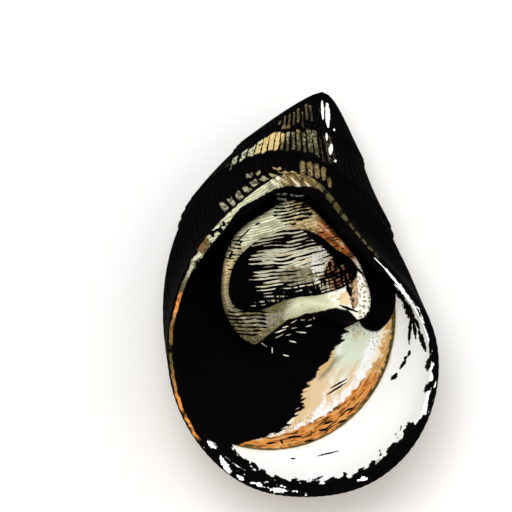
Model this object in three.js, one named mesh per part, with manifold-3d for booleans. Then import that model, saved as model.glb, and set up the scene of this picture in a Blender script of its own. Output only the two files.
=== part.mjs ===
// A cap-shaped seashell that lies on its back with the mouth up. Its ribbed outside grows in rings
// from a beak to the rim, and a small cup with a rolled lip stands inside. Millimetres, +Z up.
import * as THREE from "three";
import { mergeVertices } from "three/addons/utils/BufferGeometryUtils.js";
import Module from "manifold-3d";

// Rim: half its width, and its outline as radii every 30 degrees from +X, anticlockwise from above
const RIM_HALF_WIDTH = 18.1;
const RIM_OUTLINE = [0.965, 0.775, 0.755, 1, 0.94, 0.95, 1, 1.018, 1.018, 1, 1.04, 1.055];

// Side view, as (Y, Z) with the rim at Z = 0: the belly runs from the front of the rim to the beak,
// and the back slope from the back of the rim to the beak
const FRONT = new THREE.Vector2(0, 0);
const BACK = new THREE.Vector2(45.7, 0);
const BEAK = new THREE.Vector2(60.3, -8);
const BELLY_PULLS = [new THREE.Vector2(11.8, -16.5), new THREE.Vector2(38.7, -26.7)];
const BACK_PULL = new THREE.Vector2(52.5, -4.8);

// Plan view: X of the middle line at the rim, twice on the way, and at the beak
const SWAY = [0.4, -3.5, -1.9, 3];

// How the rings grow: each power shapes one measure between the beak and the rim
const BELLY_POWER = 0.64;
const BACK_POWER = 1.42;
const WIDTH_POWER = 0.66;
const ROUNDING_POWER = 1.6;
const FLANK_SWELL = 0.115;

// Relief of the outside
const RIB_COUNT = 56;
const RIB_HEIGHT = 0.3;
const GROWTH_LINES = [0.3, 0.6];
const LEDGE_HEIGHT = 0.45;
const LEDGE_RUN = 0.012;
const LEDGE_FADE = 0.3;

// Wall: thickness of the belly and of the rim at its front, sides and back
const WALL = 1.7;
const RIM_FRONT = 1.5;
const RIM_SIDE = 1.1;
const RIM_BACK = 2.3;
const RIM_ZONE = 0.12;
const HOLLOW_START = 0.33;
const HOLLOW_END_DOME = 1.2;

// Cup: centre, slope of its mouth, and its outer and hollow outlines as radii every 30 degrees
const CUP_CENTRE = new THREE.Vector2(-0.6, 34.5);
const CUP_MOUTH_Z = -7.9;
const CUP_MOUTH_SLOPE = 0.28;
const CUP_OUTLINE = [9.1, 7.7, 7.8, 9.4, 8.8, 9.5, 9.8, 10.7, 10.5, 5.9, 6, 10.8];
const HOLLOW_OUTLINE = [8.2, 6.1, 5.6, 5.5, 5.8, 6.8, 8.5, 9, 4.2, 3.1, 3.4, 4.8];
const CUP_DEPTH = 7.4;
const CUP_ROOT_DEPTH = 12;
const LIP_RISE = 0.55;

// Resting flat, worn into the lowest part of the belly
const FLAT_DEPTH = 0.8;

// Fineness of the skins
const OUTSIDE_ROWS = 17;
const HOLLOW_ROWS = 13;
const HOLLOW_SEGMENTS = 56;
const CUP_SEGMENTS = 48;
const TIP_RINGS = [0.008, 0.03];
const STEP = 1e-3;
const CLEAR = 3;

const belly = new THREE.CubicBezierCurve(FRONT, ...BELLY_PULLS, BEAK);
const backSlope = new THREE.QuadraticBezierCurve(BACK, BACK_PULL, BEAK);

const wasm = await Module();
wasm.setup();

// Value at an angle of a smooth closed outline that is given at even angles.
function outlineAt(values, turn) {
  const count = values.length;
  const place = (turn / (2 * Math.PI)) * count;
  const index = Math.floor(place);
  const f = place - index;
  const [a, b, c, d] = [-1, 0, 1, 2].map((k) => values[(index + k + count) % count]);
  return b + 0.5 * f * (c - a + f * (2 * a - 5 * b + 4 * c - d + f * (3 * (b - c) + d - a)));
}

// X of the middle line, by the share of the way from the rim to the beak.
function swayAt(share) {
  const [a, b, c, d] = SWAY;
  const rest = 1 - share;
  return a * rest ** 3 + 3 * b * rest ** 2 * share + 3 * c * rest * share ** 2 + d * share ** 3;
}

// Growth of the ring that stands at an even share of the belly: 1 at the rim, 0 at the beak.
function growthAt(share) {
  return 1 - share ** (1 / BELLY_POWER);
}

// Point of the smooth outside on the ring of one growth, at one turn round it.
function outside(growth, turn) {
  const share = 1 - growth;
  const radius = 1 + (outlineAt(RIM_OUTLINE, turn) - 1) * growth ** ROUNDING_POWER;
  const low = belly.getPoint(share ** BELLY_POWER);
  const high = backSlope.getPoint(share ** BACK_POWER);
  const swell = 1 + FLANK_SWELL * 4 * growth * share;
  const halfWidth = RIM_HALF_WIDTH * growth ** WIDTH_POWER * swell;
  const across = 0.5 * (1 + radius * Math.sin(turn));
  return new THREE.Vector3(
    swayAt(share) + halfWidth * radius * Math.cos(turn),
    THREE.MathUtils.lerp(low.x, high.x, across),
    THREE.MathUtils.lerp(low.y, high.y, across),
  );
}

// Point at a distance out from the smooth outside, or into it where the distance is negative.
function offset(growth, turn, distance) {
  const point = outside(growth, turn);
  const along = outside(growth, turn + STEP).sub(outside(growth, turn - STEP));
  const up = point.clone().sub(outside(growth - STEP, turn));
  return point.addScaledVector(along.cross(up).normalize(), distance);
}

// Height of the growth ledges: each band rises slowly to its line and drops back behind it.
function ledgeAt(growth) {
  const next = GROWTH_LINES.findIndex((line) => growth < line);
  if (next < 0) return 0;
  const start = next ? GROWTH_LINES[next - 1] : 0;
  const climb = (growth - start) / (GROWTH_LINES[next] - start);
  return LEDGE_HEIGHT * climb ** 3 * growth ** LEDGE_FADE;
}

// Thickness of the wall, which thins from the belly to the rim.
function wallAt(growth, turn) {
  const side = Math.sin(turn);
  const rim = RIM_SIDE + (side > 0 ? RIM_BACK - RIM_SIDE : RIM_FRONT - RIM_SIDE) * side ** 2;
  return THREE.MathUtils.lerp(rim, WALL, THREE.MathUtils.smoothstep(1 - growth, 0, RIM_ZONE));
}

// One loop of points, from a function of the turn.
function loop(count, pointAt) {
  return Array.from({ length: count }, (_, i) => pointAt((i / count) * 2 * Math.PI, i));
}

// A closed solid over a stack of loops of equal count, with a fan to a pole at each end.
function solid(first, loops, last) {
  const count = loops[0].length;
  const points = [first, ...loops.flat(), last];
  const top = 1 + (loops.length - 1) * count;
  const index = [];
  for (let i = 0; i < count; i += 1) {
    const j = (i + 1) % count;
    index.push(0, 1 + j, 1 + i, top + i, top + j, points.length - 1);
    for (let low = 1; low < top; low += count) {
      const high = low + count;
      index.push(low + i, low + j, high + i, low + j, high + j, high + i);
    }
  }
  return manifoldOf(new THREE.BufferGeometry().setFromPoints(points).setIndex(index));
}

function manifoldOf(geometry) {
  geometry.deleteAttribute("normal");
  geometry.deleteAttribute("uv");
  const merged = mergeVertices(geometry);
  const triVerts = new Uint32Array(merged.index.array);
  const vertProperties = merged.attributes.position.array;
  return new wasm.Manifold(new wasm.Mesh({ numProp: 3, vertProperties, triVerts }));
}

function geometryOf(manifold) {
  const { vertProperties, triVerts } = manifold.getMesh();
  return new THREE.BufferGeometry()
    .setAttribute("position", new THREE.BufferAttribute(vertProperties, 3))
    .setIndex(new THREE.BufferAttribute(triVerts, 1));
}

// The outside, filled up to the rim: ribs alternate with furrows round each ring.
function outsideSolid() {
  const rings = Array.from({ length: OUTSIDE_ROWS }, (_, i) => growthAt(i / OUTSIDE_ROWS));
  const ledges = GROWTH_LINES.flatMap((line) => [line - LEDGE_RUN, line + LEDGE_RUN]);
  const nearLedge = (growth) => GROWTH_LINES.some((line) => Math.abs(growth - line) < 2 * LEDGE_RUN);
  const rows = [...TIP_RINGS, ...ledges, ...rings.filter((growth) => !nearLedge(growth))];
  rows.sort((a, b) => a - b);
  const loops = rows.map((growth) =>
    loop(2 * RIB_COUNT, (turn, i) => {
      const rib = (i % 2 ? -0.5 : 0.5) * RIB_HEIGHT * growth ** WIDTH_POWER;
      return offset(growth, turn, rib + ledgeAt(growth));
    }),
  );
  for (const point of loops.at(-1)) point.z = 0;
  const beak = new THREE.Vector3(SWAY[3], BEAK.x, BEAK.y);
  return solid(beak, loops, new THREE.Vector3(SWAY[0], BACK.x / 2, 0));
}

// Mean of some points.
function middle(points) {
  return points.reduce((sum, point) => sum.add(point), new THREE.Vector3()).divideScalar(points.length);
}

// The inside of the wall as a solid, at a share of the wall's thickness, open past the rim.
function insideSolid(wallShare) {
  const far = (1 - HOLLOW_START) ** BELLY_POWER;
  const rows = Array.from({ length: HOLLOW_ROWS }, (_, i) => growthAt(far * (1 - i / (HOLLOW_ROWS - 1))));
  const loops = rows.map((growth) =>
    loop(HOLLOW_SEGMENTS, (turn) => offset(growth, turn, -wallShare * wallAt(growth, turn))),
  );
  const above = loops.at(-1).map((point) => point.clone().setZ(CLEAR));
  const beak = new THREE.Vector3(SWAY[3], BEAK.x, BEAK.y);
  const deep = middle(loops[0]);
  deep.addScaledVector(beak.sub(deep).normalize(), HOLLOW_END_DOME);
  return solid(deep, [...loops, above], middle(above));
}

// The cup: up its outside from a root in the wall, over the rolled lip and down into its hollow.
function cupSolid() {
  const mouthZ = (y) => CUP_MOUTH_Z + CUP_MOUTH_SLOPE * (y - CUP_CENTRE.y);
  const ringAt = (scale, hollowShare, lift) =>
    loop(CUP_SEGMENTS, (turn) => {
      const outer = outlineAt(CUP_OUTLINE, turn);
      const radius = scale * THREE.MathUtils.lerp(outer, outlineAt(HOLLOW_OUTLINE, turn), hollowShare);
      const x = CUP_CENTRE.x + radius * Math.cos(turn);
      const y = CUP_CENTRE.y + radius * Math.sin(turn);
      return new THREE.Vector3(x, y, mouthZ(y) + lift);
    });
  const poleAt = (lift) => new THREE.Vector3(CUP_CENTRE.x, CUP_CENTRE.y, CUP_MOUTH_Z + lift);
  const loops = [
    ringAt(0.7, 0, -CUP_ROOT_DEPTH),
    ringAt(0.86, 0, -0.45 * CUP_ROOT_DEPTH),
    ringAt(0.97, 0, -1.4),
    ringAt(1, 0, -0.4),
    ringAt(1, 0.25, 0.7 * LIP_RISE),
    ringAt(1, 0.6, LIP_RISE),
    ringAt(1, 0.9, 0),
    ringAt(1, 1, -0.8),
    ringAt(0.94, 1, -0.45 * CUP_DEPTH),
    ringAt(0.75, 1, -0.8 * CUP_DEPTH),
    ringAt(0.4, 1, -0.96 * CUP_DEPTH),
  ];
  return solid(poleAt(-CUP_ROOT_DEPTH), loops, poleAt(-CUP_DEPTH));
}

// Everything below the resting flat.
function belowFlat(solidShell) {
  const [minX, minY, minZ] = solidShell.boundingBox().min;
  const [maxX, maxY] = solidShell.boundingBox().max;
  const slab = new THREE.BoxGeometry(maxX - minX, maxY - minY, 2 * CLEAR);
  slab.translate((minX + maxX) / 2, (minY + maxY) / 2, minZ + FLAT_DEPTH - CLEAR);
  return manifoldOf(slab);
}

function shellMesh() {
  const wall = outsideSolid().subtract(insideSolid(1));
  const cup = cupSolid().intersect(insideSolid(0.5));
  const grown = wall.add(cup);
  const geometry = geometryOf(grown.subtract(belowFlat(grown)));
  const material = new THREE.MeshStandardMaterial({ color: 0x4a4032, roughness: 0.4, metalness: 0 });
  const mesh = new THREE.Mesh(geometry, material);
  mesh.name = "shell";
  return mesh;
}

const shell = shellMesh();
shell.geometry.computeBoundingBox();
const box = shell.geometry.boundingBox;
const centre = box.getCenter(new THREE.Vector3());
shell.position.set(-centre.x, -centre.y, -box.min.z);

const part = new THREE.Group();
part.name = "seashell";
part.add(shell);

export default part;
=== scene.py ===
"""A cap-shaped seashell that lies on its back, with ribs, a beak, a pearly bowl and an inner cup."""

import math
from functools import reduce

import bpy
import numpy as np
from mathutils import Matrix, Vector
from mathutils.kdtree import KDTree


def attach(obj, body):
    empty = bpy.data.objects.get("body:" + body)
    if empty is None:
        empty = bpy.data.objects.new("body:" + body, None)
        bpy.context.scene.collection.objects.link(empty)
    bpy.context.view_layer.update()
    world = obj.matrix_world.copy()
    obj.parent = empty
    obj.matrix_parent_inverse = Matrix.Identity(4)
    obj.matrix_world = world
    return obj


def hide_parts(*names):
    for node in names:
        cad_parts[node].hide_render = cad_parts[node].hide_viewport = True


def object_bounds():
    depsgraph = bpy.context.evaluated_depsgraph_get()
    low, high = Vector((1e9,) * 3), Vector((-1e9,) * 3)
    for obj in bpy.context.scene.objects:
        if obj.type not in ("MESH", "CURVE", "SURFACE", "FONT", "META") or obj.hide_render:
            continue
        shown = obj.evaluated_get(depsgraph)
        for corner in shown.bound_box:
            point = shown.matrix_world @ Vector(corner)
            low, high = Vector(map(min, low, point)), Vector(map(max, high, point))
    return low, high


bl_info = {
    "name": "Seashell",
    "version": (1, 0, 0),
    "blender": (4, 5, 0),
    "location": "3D View > Sidebar > Seashell",
    "description": "Builds a ribbed seashell with a pearly bowl and an inner cup, and the stage it lies on",
    "category": "Object",
}

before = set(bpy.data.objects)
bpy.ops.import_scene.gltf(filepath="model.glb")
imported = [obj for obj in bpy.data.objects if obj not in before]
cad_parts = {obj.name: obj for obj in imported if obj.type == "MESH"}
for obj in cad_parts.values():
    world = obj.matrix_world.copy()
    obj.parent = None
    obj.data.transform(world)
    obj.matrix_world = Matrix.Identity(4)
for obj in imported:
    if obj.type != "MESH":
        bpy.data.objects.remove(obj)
CAD_LOW, CAD_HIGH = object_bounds()
MM = 0.001
TAU = 2 * math.pi

# The form, in millimetres with the rim at Z = 0; outlines are radii every 30 degrees from +X
RIM_HALF_WIDTH = 18.1
RIM_OUTLINE = (0.965, 0.775, 0.755, 1, 0.94, 0.95, 1, 1.018, 1.018, 1, 1.04, 1.055)
CREST_EASE = ((-0.18, 1), (-0.09, 2), (0, 3), (0.09, 2), (0.18, 1))
BEAK = (60.3, -8)
BELLY = ((0, 0), (11.8, -16.5), (38.7, -26.7), BEAK)
BACK_SLOPE = ((45.7, 0), (52.5, -4.8), BEAK)
SWAY = (0.4, -3.5, -1.9, 3)
BELLY_POWER = 0.64
BACK_POWER = 1.42
WIDTH_POWER = 0.66
ROUNDING_POWER = 1.6
FLANK_SWELL = 0.115
RIM_ZONE = 0.12
RIM_TUCK = 0.15
BEAD_PULL = 0.4
HOLLOW_START = 0.33
HOLLOW_END_DOME = 1.2
CUP_CENTRE = (-0.6, 34.5)
CUP_MOUTH_Z = -7.9
CUP_MOUTH_SLOPE = 0.28
CUP_ROOT_SHARE = 0.9
CUP_OUTLINE = (9.1, 7.7, 7.8, 9.4, 8.8, 9.5, 9.8, 10.7, 10.5, 5.9, 6, 10.8)
HOLLOW_OUTLINE = (8.2, 6.1, 5.6, 5.5, 5.8, 6.8, 8.5, 9, 4.2, 3.1, 3.4, 4.8)

# Relief of the outside by growth, with furrows as shares of a rib, and swells by height, waves and twist
GROWTH_LINES = (0.3, 0.6)
RIBS_DOUBLE = (0.62, 0.74)
FURROW_WIDTH = 0.17
DOUBLED_FURROW_WIDTH = 0.24
RIB_LEVEL = 0.35
RIBS_FADE = 0.85
SWELLS = ((0.07, 3, 9), (0.05, 7, -23))

# The view that the markings are laid out in: its tilt, and where the plan's zero sits in the square picture
VIEW_TILT = math.radians(70)
PICTURE_SIZE = 512
PICTURE_ZERO = (300, 495)
PIXELS_PER_MM = 7.5
AIM_LEVEL = -4.0

# Patches in millimetres across and up the slanted plan: the middle and radii of an ellipse
BAND_OUTER = ((-4.0, 23.75), (16.8, 17.7))
BAND_INNER = ((-9.0, 23.0), (20.0, 15.9))
SHADE = ((9.9, 27.0), (2.95, 5.3))
RIM_FRONT = ((0.9, 16.7), (17.1, 17.1))
BROWNED_RIM = ((-12.9, 33.4), (0.9, 1.2))
SPECKLED_PEARL = ((10.0, 20.6), (0.9, 1.6))
SCRATCHES = ((-1.3, 40.0), (1.7, 0.9))
PEACH = ((6.1, 26.2), (0.9, 0.9))
PEACH_SPECKS = ((4.6, 26.6), (1.2, 0.9))
CUP_FOOT = ((-6.0, 22.6), (4.4, 3.4))
LINED_BACK = ((-1.0, 37.9), (2.6, 1.9))
LINED_LEFT = ((-9.0, 33.0), (1.3, 3.4))
LINED_FOOT = ((-7.0, 23.4), (2.8, 2.6))
HOLLOW_SHADE = ((-0.3, 29.2), (2.8, 1.3))
# A painted highlight: the pale strip on the right wall of the cup's hollow
HOLLOW_LIT_STRIP = ((2.6, 31.4), (1.1, 3.2))
HOLLOW_RUST = ((5.6, 29.6), (2.3, 2.9))
HOLLOW_LIGHT = ((-2.0, 31.6), (6.0, 1.3))

# Worn ribs of the outside: the middle of their fan, and the turns and growths that each row lies between
RIB_FAN = (-0.5, 66.0)
RIBS_PER_RADIAN = 26
RIB_TURN = (1.1, 2.2)
CELL_TURN, CELL_GROWTH = (1.55, 2.24), (0.905, 0.978)
SLIVER_TURN, SLIVER_GROWTH = (1.6, 2.1), (0.805, 0.845)
TIP_TURN, TIP_GROWTH = (1.3, 1.86), (0.14, 0.268)
PALE_GROWTH = ((0.255, 0.29), (0.52, 0.59), (0.82, 0.9))
DARK_GROWTH = ((0.295, 0.312), (0.5, 0.512), (0.595, 0.615), (0.905, 0.92))

# Lean of the edge between the black painted shade and the pearl
BLACK_EDGE_LEAN = math.radians(35)

# Strokes in millimetres of the slanted plan: their ends and half widths
PALE_LINE = ((9.9, 31.6), (11.4, 30.1), (13.2, 27.9), (14.9, 25.1), (16.6, 21.3))
PALE_LINE_WIDTHS = (0.05, 0.14, 0.26, 0.38)
FLARE_STROKES = (
    ((12.1, 28.2), (14.2, 25.5), 0.38),
    ((13.9, 25.9), (15.1, 23.3), 0.55),
    ((14.8, 23.9), (14.5, 20.2), 0.25),
    ((15.07, 23.6), (15.4, 20.9), 0.26),
    ((15.2, 23.6), (15.9, 22.2), 0.26),
    ((15.8, 22.0), (16.67, 19.2), 0.34),
    ((14.7, 19.3), (14.4, 18.5), 0.2),
    ((13.9, 18.1), (14.3, 18.6), 0.18),
    ((14.1, 18.0), (13.3, 16.9), 0.24),
    ((12.9, 16.2), (12.2, 15.4), 0.3),
    ((17.2, 18.4), (16.8, 16.7), 0.34),
    ((17.8, 15.4), (16.5, 13.9), 0.45),
    ((17.7, 13.7), (17.0, 12.2), 0.36),
    ((-1.24, 4.97), (-0.67, 4.97), 0.13),
    ((2.16, 5.3), (5.05, 5.96), 0.11),
)
INSIDE_STROKES = (
    ((4.04, 14.19), (6.27, 15.43), 0.13),
    ((3.6, 13.33), (6.27, 15.03), 0.13),
    ((-4.5, 6.9), (-3.3, 7.1), 0.15),
    ((-2.6, 7.4), (-2.3, 6.9), 0.15),
    ((-1.6, 7.75), (0.2, 7.85), 0.15),
    ((0.6, 7.2), (1.8, 7.4), 0.15),
    ((2.5, 8.6), (3.7, 8.9), 0.15),
    ((3.2, 9.45), (4.4, 9.9), 0.14),
    ((5.0, 9.6), (6.2, 10.1), 0.15),
    ((6.1, 11.2), (7.1, 11.7), 0.14),
)
CUP_DASHES = (
    ((0.1, 23.3), (0.7, 23.3), 0.08),
    ((0.9, 22.4), (1.6, 22.6), 0.1),
    ((1.1, 23.2), (1.6, 23.4), 0.07),
    ((1.8, 23.7), (2.0, 23.4), 0.08),
    ((-1.2, 22.9), (-0.4, 23.3), 0.07),
    ((-2.3, 22.3), (-1.5, 22.5), 0.07),
    ((-1.2, 22.1), (-0.4, 22.3), 0.07),
    ((-3.3, 21.6), (-1.9, 22.1), 0.07),
    ((-0.5, 21.7), (0.8, 21.6), 0.09),
    ((-3.3, 20.9), (-2.2, 21.4), 0.07),
    ((-1.9, 21.2), (-1.2, 21.4), 0.06),
    ((-1.4, 20.5), (-0.5, 20.3), 0.09),
    ((-5.1, 20.2), (-4.4, 19.7), 0.07),
    ((-3.7, 19.6), (-3.7, 18.9), 0.09),
    ((-2.2, 18.6), (-1.5, 18.5), 0.08),
)
LIP_STRIP = ((7.1, 30.4), (7.3, 25.2), 0.6)
LIP_STROKES = (
    ((6.3, 31.6), (8.5, 29.3), 0.2),
    ((6.3, 28.2), (6.85, 26.5), 0.36),
    ((5.3, 25.3), (7.7, 24.4), 0.2),
    ((7.0, 25.95), (7.15, 25.85), 0.2),
    ((6.8, 29.6), (7.3, 28.7), 0.1),
    ((7.15, 29.8), (7.6, 28.9), 0.1),
    ((-6.5, 35.7), (-8.5, 33.7), 0.11),
    ((-9.4, 34.3), (-9.3, 33.0), 0.18),
    ((-9.0, 32.4), (-9.5, 31.5), 0.2),
    ((-7.6, 33.9), (-8.1, 33.5), 0.13),
    ((-5.4, 36.3), (-6.0, 36.0), 0.11),
)
CREST_CELLS = (
    ((0.35, 44.2), (0.35, 43.0), 0.38),
    ((1.3, 44.2), (1.45, 42.7), 0.38),
    ((2.2, 43.9), (2.35, 42.5), 0.36),
    ((3.1, 43.5), (3.2, 42.2), 0.33),
    ((3.9, 42.1), (4.0, 41.2), 0.26),
)
# Painted highlights: white streaks on the ribs to the right of the beak
BEAK_HIGHLIGHTS = (
    ((3.0, 52.7), (3.12, 50.2), 0.2),
    ((3.67, 52.3), (3.8, 49.2), 0.32),
    ((4.6, 48.9), (4.62, 48.7), 0.16),
    ((3.57, 48.3), (3.63, 47.4), 0.15),
    ((4.2, 46.8), (4.08, 45.5), 0.27),
    ((4.73, 44.7), (4.74, 44.5), 0.2),
)
RIM_CHIPS = (
    ((-12.2, 7.3), (-11.2, 6.4), 0.34),
    ((-10.6, 5.2), (-9.2, 3.2), 0.34),
    ((-8.2, 2.8), (-7.5, 2.3), 0.28),
    ((-6.6, 1.9), (-6.0, 1.9), 0.16),
    ((-5.7, 1.8), (-5.1, 1.5), 0.22),
    ((-3.8, 1.0), (-1.8, 0.8), 0.3),
    ((7.6, 2.2), (8.9, 2.6), 0.28),
)

# How much a stroke thins to its ends, and how uneven its edge is
STROKE_TAPER = 0.6
EVEN_EDGE = 0.9
RAGGED_EDGE = 1.8
BROKEN_EDGE = 3.4

# Shine of the skin and its coat, and the floor's roughness
SKIN_ROUGHNESS = 0.85
SKIN_SHINE = 0.02
COAT_ROUGHNESS = 0.15
FLOOR_ROUGHNESS = 0.9

# Lamps by name, with their places and sides in metres, and how far the camera sees
LAMPS = (("key", (-0.06, -0.1, 0.68), 0.3), ("fill", (0.4, -0.2, 0.5), 0.5))
CLIP_END = 20

# Fineness of the mesh
COLUMNS = 448
OUTSIDE_ROWS = 104
BEAD_ROWS = 12
INSIDE_ROWS = 62
CUP_COLUMNS = 168
CUP_ROWS = 60
STEP = 1e-3
INSIDE_SPREAD = 0.14
HALVINGS = 24
BELLY_SAMPLES = (60, 90)
BOX_SAMPLES = (40, 180)
NEIGHBOURS = 4
SHARP_ANGLE = math.radians(55)
OUTSIDE, RIM, INSIDE, CUP = range(4)


def linear(code):
    """Linear RGBA of a colour written as six hexadecimal digits."""
    parts = [int(code[i : i + 2], 16) / 255 for i in (0, 2, 4)]
    return (*[p / 12.92 if p <= 0.04045 else ((p + 0.055) / 1.055) ** 2.4 for p in parts], 1.0)


def number(name, description, default, **limits):
    return bpy.props.FloatProperty(name=name, description=description, default=default, **limits)


def length(name, description, default):
    return number(name, description, default, min=0, precision=5, unit="LENGTH")


def colour(name, description, code):
    return bpy.props.FloatVectorProperty(
        name=name, description=description, default=linear(code), size=4, min=0, max=1, subtype="COLOR"
    )


class SeashellSizes(bpy.types.PropertyGroup):
    """Sizes of the shell's relief and wall."""

    rib_count: bpy.props.IntProperty(
        name="Ribs", description="Ribs round the beak, twice as many at the rim", default=56, min=8, max=120
    )
    rib_height: length("Rib height", "Height of a rib above its furrows at the rim", 0.00032)
    ledge_height: length("Ledge height", "Height of the growth ledges", 0.00045)
    wall: length("Wall", "Thickness of the belly wall", 0.0017)
    rim_front: length("Rim at front", "Thickness of the wall at the front of the rim", 0.0015)
    rim_side: length("Rim at sides", "Thickness of the wall at the sides of the rim", 0.0011)
    rim_back: length("Rim at back", "Thickness of the wall at the back of the rim", 0.0023)
    cup_depth: length("Cup depth", "Depth of the cup's hollow below its mouth", 0.0074)
    lip_rise: length("Lip rise", "Height of the cup's rolled lip above its mouth", 0.00055)


class SeashellColours(bpy.types.PropertyGroup):
    """Colours of the shell's finishes."""

    # Black is partly the shell's skin and partly painted shade: the deep inside, the right flank and under
    # the cup's lip
    black: colour("Black", "Skin of the outside and of the deep inside", "040303")
    gold: colour("Gold", "Worn ribs on the left of the beak", "DEC281")
    olive: colour("Olive", "Worn ribs on the right of the beak", "4C482A")
    bark: colour("Bark", "Worn ribs at the far right of the beak", "38311C")
    brown: colour("Brown", "Ribs of the underside", "8A5F30")
    tan: colour("Tan", "Worn growth bands of the underside", "D3AC6C")
    rim_green: colour("Rim green", "Rim band on the left", "C4C7A6")
    rim_gold: colour("Rim gold", "Rim band at the back", "A88C58")
    pearl_green: colour("Green pearl", "Upper part of the pearly patch", "DDE5CE")
    pearl_pink: colour("Pink pearl", "Lower part of the pearly patch", "E3C69E")
    # White also paints highlights: on the pearl along the orange band, and in streaks right of the beak
    white: colour("White", "Flared rim and the brightest pearl", "FCFBF8")
    orange: colour("Orange", "Band round the pearly patch", "D98C42")
    rust: colour("Rust", "Streaks in the orange band", "96501E")
    moss: colour("Moss", "Line along the outside of the orange band", "5A522C")
    lip_green: colour("Lip green", "Lip of the cup", "DADEBC")
    lip_tan: colour("Lip tan", "Lip of the cup at the back", "D6BA88")
    lip_rust: colour("Lip rust", "Lip of the cup at the back right", "A0561F")
    # Lip cream also paints the highlight strip on the right wall of the cup's hollow
    lip_cream: colour("Lip cream", "Lip of the cup at the right", "FFFBF0")
    lip_grey: colour("Lip grey", "Foot of the cup's lip at the left", "726A50")
    hollow_cream: colour("Hollow cream", "Inside of the cup", "FDF8DE")
    # Hollow olive is painted shade in the middle of the cup's hollow, and olive dots and smears elsewhere
    hollow_olive: colour("Hollow olive", "Middle of the cup's hollow", "978E6C")


class SeashellStage(bpy.types.PropertyGroup):
    """Floor, light and camera."""

    floor_size: length("Floor size", "Side of the square floor", 3.0)
    floor_colour: colour("Floor", "Colour of the floor", "E8E8E6")
    lens: number("Lens", "Focal length of the camera in millimetres", 900, min=50, max=2000)
    sky: number("Sky", "Strength of the even light", 0.8, min=0)
    key: number("Key", "Strength of the key lamp", 2.6, min=0, unit="POWER")
    fill: number("Fill", "Strength of the fill lamp", 0.9, min=0, unit="POWER")


def curve(neighbours, share):
    """Smooth curve between the second and the third of four neighbours, at a share of the way."""
    a, b, c, d = neighbours
    bend = 2 * a - 5 * b + 4 * c - d + share * (3 * (b - c) + d - a)
    return b + 0.5 * share * (c - a + share * bend)


def outline_at(values, turn):
    """Smooth closed outline through values at even angles, read at the given turns."""
    values = np.asarray(values, float)
    count = len(values)
    place = np.asarray(turn) / TAU * count
    index = np.floor(place).astype(int)
    return curve([values[(index + k) % count] for k in (-1, 0, 1, 2)], place - index)


def rim_radius(turn):
    """The rim's outline, eased over a short arc so that its crest at the back is round."""
    eased = sum(weight * outline_at(RIM_OUTLINE, turn + place) for place, weight in CREST_EASE)
    return eased / sum(weight for _, weight in CREST_EASE)


def bezier(pulls, share):
    """Bezier curve of any degree, whose pulls are numbers or points."""
    pulls = np.asarray(pulls, float)
    degree = len(pulls) - 1
    share = np.asarray(share, float)
    if pulls.ndim > 1:
        share = share[..., None]
    weights = [math.comb(degree, k) * (1 - share) ** (degree - k) * share**k for k in range(degree + 1)]
    return sum(weight * pull for weight, pull in zip(weights, pulls))


def spline(points, count):
    """Smooth open curve through points, sampled evenly by station."""
    padded = np.concatenate([[2 * points[0] - points[1]], points, [2 * points[-1] - points[-2]]])
    place = np.linspace(0, len(points) - 1, count)
    index = np.minimum(place.astype(int), len(points) - 2)
    return curve([padded[index + k] for k in range(4)], (place - index)[:, None])


def growth_at(share):
    """Growth of the ring at a share of the way along the belly: 1 at the rim, 0 at the beak."""
    return 1 - share ** (1 / BELLY_POWER)


def smoothstep(value, low, high):
    t = np.clip((value - low) / (high - low), 0, 1)
    return t * t * (3 - 2 * t)


def outside(growth, turn):
    """Points of the smooth outside, on the ring of each growth and at each turn round it."""
    share = 1 - growth
    radius = 1 + (rim_radius(turn) - 1) * growth**ROUNDING_POWER
    low = bezier(BELLY, share**BELLY_POWER)
    high = bezier(BACK_SLOPE, share**BACK_POWER)
    half_width = RIM_HALF_WIDTH * growth**WIDTH_POWER * (1 + FLANK_SWELL * 4 * growth * share)
    across = (0.5 * (1 + radius * np.sin(turn)))[..., None]
    x = bezier(SWAY, share) + half_width * radius * np.cos(turn)
    return np.concatenate([x[..., None], low + (high - low) * across], -1)


def offset(growth, turn, distance, spread=STEP):
    """Points at a distance out from the smooth outside, along normals evened over a spread of turn."""
    point = outside(growth, turn)
    along = outside(growth, turn + spread) - outside(growth, turn - spread)
    up = point - outside(growth - STEP, turn)
    normal = np.cross(along, up)
    normal /= np.linalg.norm(normal, axis=-1, keepdims=True)
    return point + normal * np.asarray(distance)[..., None]


def ledge_at(growth):
    """Height of the growth ledges, from 0 to 1: each band rises slowly and drops back behind its line."""
    height = np.zeros_like(growth)
    start = 0.0
    for line in GROWTH_LINES:
        inside_band = (growth >= start) & (growth < line)
        height = np.where(inside_band, ((growth - start) / (line - start)) ** 3 * growth**0.3, height)
        start = line
    return height


def furrow_at(phase, width):
    """Depth of the furrows between ribs, from 0 to 1, one furrow to each whole phase."""
    away = np.abs(phase - np.round(phase))
    return np.exp(-((away / width) ** 2))


def relief_at(growth, turn, sizes):
    """Height of the outside's relief: ribs that double near the rim, growth ledges and slow swells."""
    phase = turn / TAU * sizes.rib_count
    few = furrow_at(phase, FURROW_WIDTH)
    many = furrow_at(2 * phase, DOUBLED_FURROW_WIDTH)
    furrow = few + (many - few) * smoothstep(growth, *RIBS_DOUBLE)
    low_at_rim = 1 - RIBS_FADE * smoothstep(growth, 1 - RIM_ZONE, 1)
    ribs = (RIB_LEVEL - furrow) * sizes.rib_height / MM * (growth**WIDTH_POWER + 0.05) * low_at_rim
    swell = sum(height * np.sin(waves * turn + twist * growth) for height, waves, twist in SWELLS)
    return ribs + ledge_at(growth) * sizes.ledge_height / MM + swell * growth


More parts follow.
